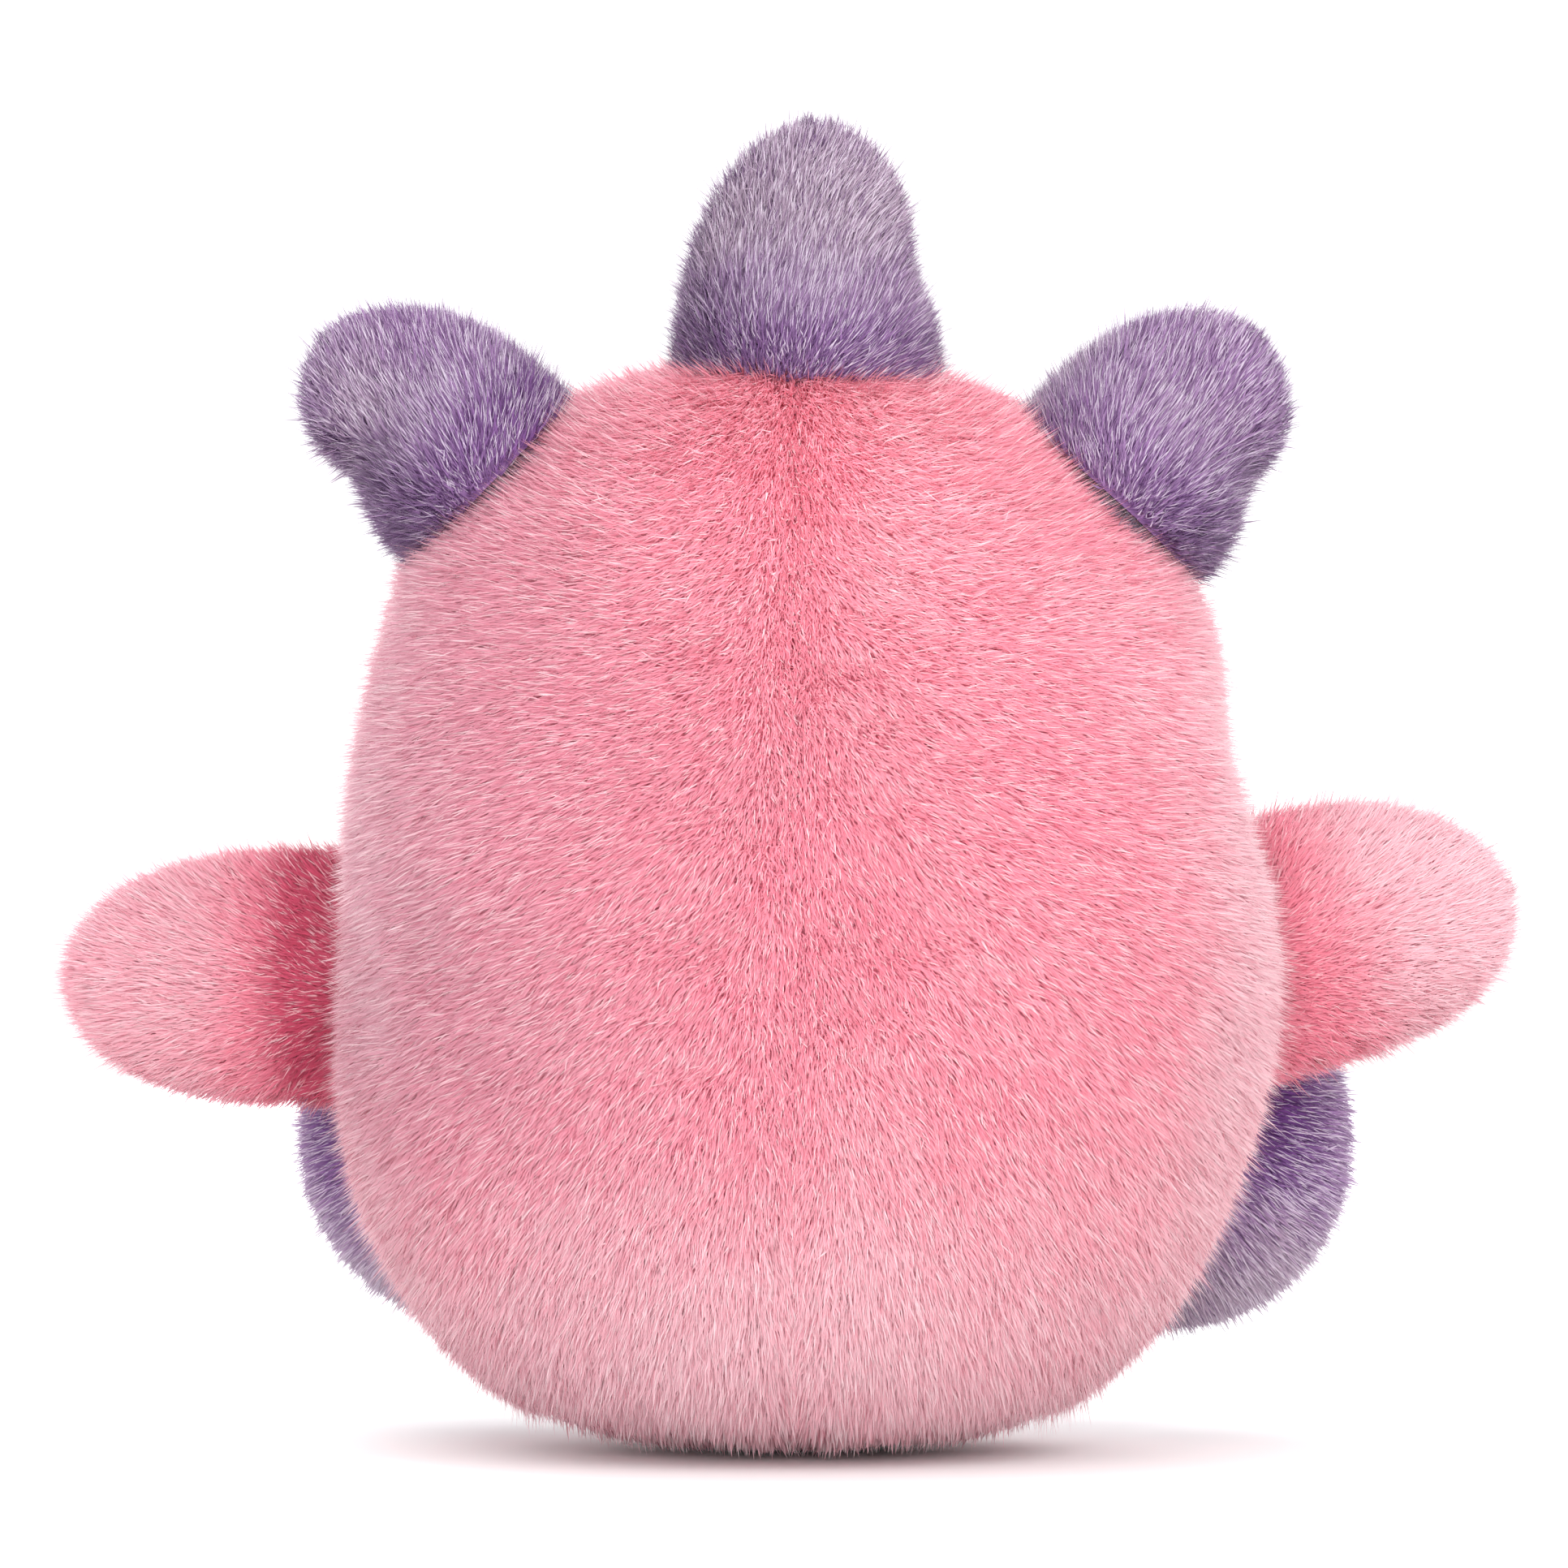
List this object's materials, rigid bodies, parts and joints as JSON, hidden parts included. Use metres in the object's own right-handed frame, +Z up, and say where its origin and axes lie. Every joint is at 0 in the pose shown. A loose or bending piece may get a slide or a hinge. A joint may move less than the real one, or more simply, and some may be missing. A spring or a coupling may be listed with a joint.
{
  "type": "stuffed dinosaur",
  "caption": "Palm-size stuffed dinosaur: an egg-shaped pile-fabric body with a crest of stuffed spikes, side arms and round feet that bend at their seams.",
  "frame": {"origin": "middle of the flat seat, on the surface the toy sits on", "axes": "+Z up, the face looks along -Y, the toy's own left is +X"},
  "size_m": [0.1369, 0.092, 0.1263],
  "materials": {
    "pink_pile": "short dense plush pile, pink",
    "lilac_pile": "short dense plush pile, lilac",
    "pale_pink_pile": "short dense plush pile, pale pink",
    "fibre_fill": "loose white polyester fibre",
    "pouch_cloth": "thin off-white bonded cloth",
    "pellets": "translucent white plastic granules",
    "eye_plastic": "polished black",
    "washer_plastic": "moulded translucent white",
    "dark_thread": "twisted dark plum thread",
    "pink_thread": "twisted pink thread"
  },
  "bodies": {
    "torso": {"back_panel_left": "pink_pile", "back_panel_right": "pink_pile", "front_panel_left": "pink_pile", "front_panel_right": "pink_pile", "seat_panel": "pink_pile", "pellet_pouch_upper": "pouch_cloth", "pellet_pouch_lower": "pouch_cloth", "pellet_fill": "pellets", "body_stuffing": "fibre_fill", "eye_left": "eye_plastic", "eye_washer_left": "washer_plastic", "eye_right": "eye_plastic", "eye_washer_right": "washer_plastic", "muzzle_cover": "pale_pink_pile", "muzzle_stuffing": "fibre_fill", "nostril_left": "dark_thread", "nostril_right": "dark_thread", "mouth_thread": "dark_thread", "closing_thread": "pink_thread"},
    "spike_left": {"spike_left_back_cover": "lilac_pile", "spike_left_front_cover": "lilac_pile", "spike_left_stuffing": "fibre_fill"},
    "spike_middle": {"spike_middle_back_cover": "lilac_pile", "spike_middle_front_cover": "lilac_pile", "spike_middle_stuffing": "fibre_fill"},
    "spike_right": {"spike_right_back_cover": "lilac_pile", "spike_right_front_cover": "lilac_pile", "spike_right_stuffing": "fibre_fill"},
    "arm_left": {"arm_left_back_cover": "pink_pile", "arm_left_front_cover": "pink_pile", "arm_left_stuffing": "fibre_fill"},
    "arm_right": {"arm_right_back_cover": "pink_pile", "arm_right_front_cover": "pink_pile", "arm_right_stuffing": "fibre_fill"},
    "foot_left": {"foot_left_upper": "lilac_pile", "foot_left_sole": "lilac_pile", "foot_left_stuffing": "fibre_fill"},
    "foot_right": {"foot_right_upper": "lilac_pile", "foot_right_sole": "lilac_pile", "foot_right_stuffing": "fibre_fill"}
  },
  "joints": [
    {"name": "spike_left_bend", "type": "hinge", "parent": "torso", "child": "spike_left", "pos_m": [0.0302, 0, 0.0931], "axis": [0.6947, 0, -0.7193], "range_deg": [-20, 20], "stiffness_Nm_per_rad": 0.02},
    {"name": "spike_middle_bend", "type": "hinge", "parent": "torso", "child": "spike_middle", "pos_m": [-0.0013, 0, 0.1034], "axis": [0.9997, 0, 0.0262], "range_deg": [-20, 20], "stiffness_Nm_per_rad": 0.02},
    {"name": "spike_right_bend", "type": "hinge", "parent": "torso", "child": "spike_right", "pos_m": [-0.0318, 0, 0.0918], "axis": [0.7431, 0, 0.6691], "range_deg": [-20, 20], "stiffness_Nm_per_rad": 0.02},
    {"name": "arm_left_bend", "type": "hinge", "parent": "torso", "child": "arm_left", "pos_m": [0.04226, -0.01, 0.0446], "axis": [-0.0169, 0.0042, -0.9998], "range_deg": [-25, 30], "stiffness_Nm_per_rad": 0.02},
    {"name": "arm_right_bend", "type": "hinge", "parent": "torso", "child": "arm_right", "pos_m": [-0.04332, -0.005, 0.0468], "axis": [0.2549, 0.0449, 0.9659], "range_deg": [-25, 30], "stiffness_Nm_per_rad": 0.02},
    {"name": "foot_left_bend", "type": "hinge", "parent": "torso", "child": "foot_left", "pos_m": [0.0259, -0.02944, 0.0281], "axis": [-0.8988, -0.4384, 0], "range_deg": [-8, 8], "stiffness_Nm_per_rad": 0.05},
    {"name": "foot_right_bend", "type": "hinge", "parent": "torso", "child": "foot_right", "pos_m": [-0.0304, -0.02598, 0.0281], "axis": [-0.7431, 0.6691, 0], "range_deg": [-8, 8], "stiffness_Nm_per_rad": 0.05}
  ]
}
